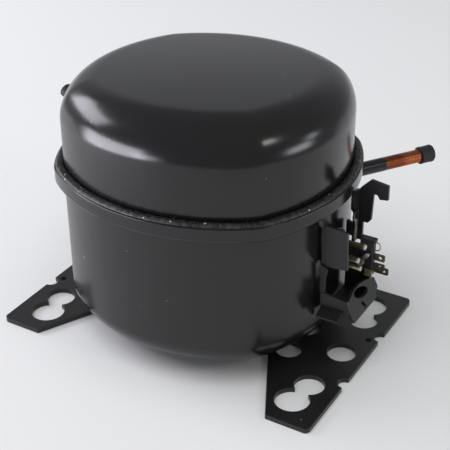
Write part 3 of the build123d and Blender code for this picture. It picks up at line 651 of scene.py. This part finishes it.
# ---- pressed feet and brackets -------------------------------------------------------------
for node_name, piece_name, width in (
    ("foot_plate_right", "foot_right", 0.45 * MM),
    ("foot_plate_left", "foot_left", 0.45 * MM),
    ("fence_plate", "fence_sheet", 0.3 * MM),
    ("fence_strap", "fence_strap_sheet", 0.25 * MM),
    ("fence_tray", "tray_sheet", 0.3 * MM),
    ("tray_tab", "tray_tab_sheet", 0.3 * MM),
    ("cover_hook", "hook_sheet", 0.35 * MM),
):
    made = crisp(node_name, piece_name, width)
    made.data.materials.append(bracket)

for node_name, piece_name, width, material in (
    ("relay_body", "relay_case", 0.4 * MM, relay_black),
    ("relay_blades", "relay_tabs", 0.16 * MM, dull_brass),
    ("relay_screw", "relay_screw_head", 0.25 * MM, nickel),
    ("relay_lug", "relay_clamp", 0.3 * MM, nickel),
    ("common_blade", "common_tab", 0.15 * MM, brass),
    ("earth_strap", "earth_tag", 0.25 * MM, dark_zinc),
):
    made = crisp(node_name, piece_name, width)
    made.data.materials.append(material)

# ---- sealed terminal --------------------------------------------------------------------------
header_low, header_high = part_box("terminal_header")
terminal = Vector((header_high.x, (header_low.y + header_high.y) / 2, (header_low.z + header_high.z) / 2))
cup = turned(
    "terminal_cup",
    [
        (-4.0 * MM, 12.7 * MM),
        (-1.2 * MM, 12.7 * MM),
        (-0.5 * MM, 12.55 * MM),
        (-0.1 * MM, 12.2 * MM),
        (0.0, 11.8 * MM),
        (-0.15 * MM, 11.4 * MM),
        (-0.5 * MM, 11.1 * MM),
        (-0.8 * MM, 10.4 * MM),
        (-0.85 * MM, 9.0 * MM),
        (-0.85 * MM, 4.0 * MM),
    ],
    terminal,
    (1, 0, 0),
    96,
)
add_piece(cup, paint, ["terminal_header"])
pin_spots = {"top": (0, 7.0, 18.5), "bottom": (0, -7.0, 16.5), "left": (-7.0, 2.3, 18.0)}
for label, (across, up, reach) in pin_spots.items():
    root = terminal + Vector((-1.5 * MM, across * MM, up * MM))
    length = reach * MM
    glass = turned(
        "terminal_bead_" + label,
        [
            (0.0, 3.2 * MM),
            (0.75 * MM, 3.15 * MM),
            (1.15 * MM, 2.8 * MM),
            (1.45 * MM, 2.2 * MM),
            (1.6 * MM, 1.5 * MM),
        ],
        root,
        (1, 0, 0),
        48,
    )
    add_piece(glass, bead, ["terminal_glass"] if label == "top" else ())
    pin = turned(
        "terminal_pin_" + label,
        [
            (-10.0 * MM, 1.6 * MM),
            (length - 0.9 * MM, 1.6 * MM),
            (length - 0.35 * MM, 1.48 * MM),
            (length - 0.1 * MM, 1.2 * MM),
            (length, 0.8 * MM),
        ],
        root,
        (1, 0, 0),
        48,
    )
    add_piece(pin, brass, ["terminal_pins"] if label == "top" else ())
    tip = turned(
        "terminal_pin_tip_" + label,
        [
            (length - 1.5 * MM, 1.62 * MM),
            (length - 0.8 * MM, 1.62 * MM),
            (length - 0.25 * MM, 1.5 * MM),
            (length - 0.02 * MM, 1.15 * MM),
            (length + 0.02 * MM, 0.5 * MM),
        ],
        root,
        (1, 0, 0),
        48,
    )
    add_piece(tip, nickel)

# ---- stub tubes ------------------------------------------------------------------------------
# Each stub: start on the casing (mm), heading and rise (degrees), length, outer radius, cap length
# and the length that is painted (mm).
stubs = {
    "suction": ((55.6, 63.6, 80), 55.6, 0, 57, 4.0, 9, 27),
    "process": ((-76.2, 30.5, 80), 168, 20.5, 57, 3.2, 12, 24),
    "discharge": ((-27.5, 81.2, 80), 104, 0, 42, 3.2, 10, 20),
}
for label, (start, heading, rise, length, radius, cap, painted) in stubs.items():
    turn = math.radians(heading)
    climb = math.radians(rise)
    axis = Vector(
        (math.cos(turn) * math.cos(climb), math.sin(turn) * math.cos(climb), math.sin(climb))
    )
    root = Vector(start) * MM
    r = radius * MM
    tube = turned(
        label + "_copper",
        [
            (painted * MM - 2 * MM, r),
            ((length - cap) * MM, r),
            ((length - 1) * MM, r),
        ],
        root,
        axis,
        64,
    )
    add_piece(tube, copper, [label + "_tube"])
    sleeve_r = r + 0.12 * MM
    sleeve = turned(
        label + "_painted_length",
        [(-5 * MM, sleeve_r), (2 * MM, sleeve_r)]
        + [((4 + (painted - 5) * k / 8) * MM, sleeve_r) for k in range(9)]
        + [((painted - 0.4) * MM, sleeve_r - 0.03 * MM), (painted * MM, r - 0.02 * MM)],
        root,
        axis,
        64,
    )
    for v in sleeve.data.vertices:
        far = (v.co - root).dot(axis)
        if far > (painted - 0.8) * MM:
            spoke = v.co - root - axis * far
            ragged = noise.noise(spoke.normalized() * 2.3 + Vector((rise, heading, 0)))
            v.co += axis * ragged * 1.3 * MM
    add_piece(sleeve, paint)
    braze = turned(
        label + "_braze",
        [
            (-4.0 * MM, r + 2.0 * MM),
            (1.2 * MM, r + 2.1 * MM),
            (2.6 * MM, r + 1.9 * MM),
            (3.8 * MM, r + 1.2 * MM),
            (4.8 * MM, r + 0.55 * MM),
            (5.5 * MM, r + 0.2 * MM),
            (5.6 * MM, r - 0.1 * MM),
        ],
        root,
        axis,
        64,
    )
    for v in braze.data.vertices:
        swirl = noise.noise(v.co * 420)
        v.co += (v.co - root - axis * (v.co - root).dot(axis)).normalized() * swirl * 0.16 * MM
    add_piece(braze, paint, [label + "_collar"])
    cap_r = r + 1.3 * MM
    cap_start = (length - cap + 3) * MM
    cap_end = cap_start + cap * MM
    plug = turned(
        label + "_plug",
        [
            (cap_start, r - 0.1 * MM),
            (cap_start, cap_r - 0.5 * MM),
            (cap_start + 0.25 * MM, cap_r - 0.12 * MM),
            (cap_start + 0.9 * MM, cap_r + 0.0 * MM),
            (cap_start + 2.2 * MM, cap_r - 0.18 * MM),
            (cap_end - 2.4 * MM, cap_r - 0.22 * MM),
            (cap_end - 1.6 * MM, cap_r - 0.02 * MM),
            (cap_end - 0.5 * MM, cap_r - 0.1 * MM),
            (cap_end - 0.1 * MM, cap_r - 0.45 * MM),
            (cap_end, cap_r - 1.0 * MM),
            (cap_end, r * 0.5),
            (cap_end - 0.3 * MM, r * 0.42),
            (cap_end - 2.6 * MM, r * 0.38),
        ],
        root,
        axis,
        64,
    )
    add_piece(plug, rubber, [label + "_cap"])

# ---- suspension springs between the casing and the pump, as one fixed mesh ---------------------
coils = bpy.data.objects.new("coil_springs", nodes["suspension_springs"].data.copy())
bpy.context.scene.collection.objects.link(coils)
coils.data.materials.clear()
coils.data.materials.append(spring)
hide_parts("suspension_springs")
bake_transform(coils)

# ---- floor, light and camera --------------------------------------------------------------------
VIEW_AZIMUTH = 30.92
floor_z = cad_box[0].z


def sweep(width, near, far, bend, height):
    """A pale studio sweep: a table that widens behind the part, a wide bend, then a wall."""
    line = [(near, 0.0, 0.34), (0.1, 0.0, 0.42), (far - bend, 0.0, width)]
    for step in range(1, 25):
        angle = math.pi / 2 * step / 24
        rise = bend * (1 - math.cos(angle))
        line.append((far - bend + bend * math.sin(angle), rise, width))
    line.append((far, height, width))
    verts = []
    for side in (-1, 1):
        verts.extend((side * reach, y, z) for y, z, reach in line)
    count = len(line)
    faces = [(i, i + 1, count + i + 1, count + i) for i in range(count - 1)]
    return mesh_object("studio_sweep", verts, faces)


paper, paper_tree, paper_shader, paper_place = surface("paper", (0.80, 0.80, 0.80), 0.85, specular=0.2)
cloud = grain(paper_tree, paper_place, 2.5, 3)
paper_tree.links.new(
    blend(paper_tree, cloud, (0.795, 0.80, 0.805), (0.81, 0.81, 0.81)),
    paper_shader.inputs["Base Color"],
)
backdrop = sweep(4.0, -0.38, 3.0, 1.2, 3.0)
backdrop.data.materials.append(paper)
facing_camera = Matrix.Rotation(math.radians(VIEW_AZIMUTH), 4, "Z")
backdrop.matrix_world = Matrix.Translation((0, 0, floor_z)) @ facing_camera


def soft_box(name, place, target, width, height, power, colour=(1, 1, 1)):
    """A rectangular area light aimed at a point."""
    lamp = bpy.data.lights.new(name, "AREA")
    lamp.shape = "RECTANGLE"
    lamp.size = width
    lamp.size_y = height
    lamp.energy = power
    lamp.color = colour
    made = bpy.data.objects.new(name, lamp)
    bpy.context.scene.collection.objects.link(made)
    made.location = place
    made.rotation_euler = (Vector(target) - Vector(place)).to_track_quat("-Z", "Y").to_euler()
    return made


world = bpy.data.worlds.new("studio")
bpy.context.scene.world = world
world.use_nodes = True
sky = world.node_tree.nodes["Background"]
sky.inputs["Color"].default_value = (0.95, 0.97, 1.0, 1)
sky.inputs["Strength"].default_value = 0.3

lens = bpy.data.cameras.new("camera")
lens.lens = 89.59
lens.sensor_width = 36
lens.clip_start = 0.01
lens.clip_end = 30
camera = bpy.data.objects.new("camera", lens)
bpy.context.scene.collection.objects.link(camera)
azimuth = math.radians(VIEW_AZIMUTH)
elevation = math.radians(30.68)
roll = math.radians(-0.56)
back = Vector(
    (
        math.sin(azimuth) * math.cos(elevation),
        -math.cos(azimuth) * math.cos(elevation),
        math.sin(elevation),
    )
)
level_right = Vector((math.cos(azimuth), math.sin(azimuth), 0))
level_up = back.cross(level_right)
right = level_right * math.cos(roll) + level_up * math.sin(roll)
upward = level_up * math.cos(roll) - level_right * math.sin(roll)
turn_to = Matrix((right, upward, back)).transposed().to_4x4()
turn_to.translation = Vector((0.29284, -0.46987, 0.38929))
camera.matrix_world = turn_to
bpy.context.scene.camera = camera
bpy.context.scene.view_settings.view_transform = "Standard"

focus = Vector((0, 0, 0.09))


def standing(name, azimuth, elevation, distance, width, height, radiance, colour):
    """A soft box seen from the part in a direction (0 is -Y, 90 is +X), of a given surface brightness."""
    turn, tilt = math.radians(azimuth), math.radians(elevation)
    away = Vector((math.sin(turn) * math.cos(tilt), -math.cos(turn) * math.cos(tilt), math.sin(tilt)))
    power = math.pi * width * height * radiance
    return soft_box(name, focus + away * distance, focus, width, height, power, colour)


standing("window_low", -46, -10, 1.5, 1.3, 0.74, 9.5, (0.92, 0.90, 1.0))
standing("window_front", -22, -12, 1.5, 0.45, 0.34, 5.0, (0.92, 0.90, 1.0))
standing("window_side", -82, 24, 1.5, 0.95, 0.52, 7.0, (0.92, 0.91, 1.0))
standing("lamp_high", 86, 32, 1.5, 0.25, 0.22, 9, (1.0, 0.97, 0.90))
standing("lamp_right", 104, -3, 1.5, 0.5, 0.3, 5.5, (0.95, 0.96, 1.0))
standing("lamp_back", 116, 8, 1.5, 0.22, 0.2, 5.0, (0.90, 0.95, 1.0))
wash = soft_box("floor_wash", (-0.1, -0.7, 2.3), (-0.1, 0.1, 0), 2.6, 2.6, 41)
wash.visible_glossy = False
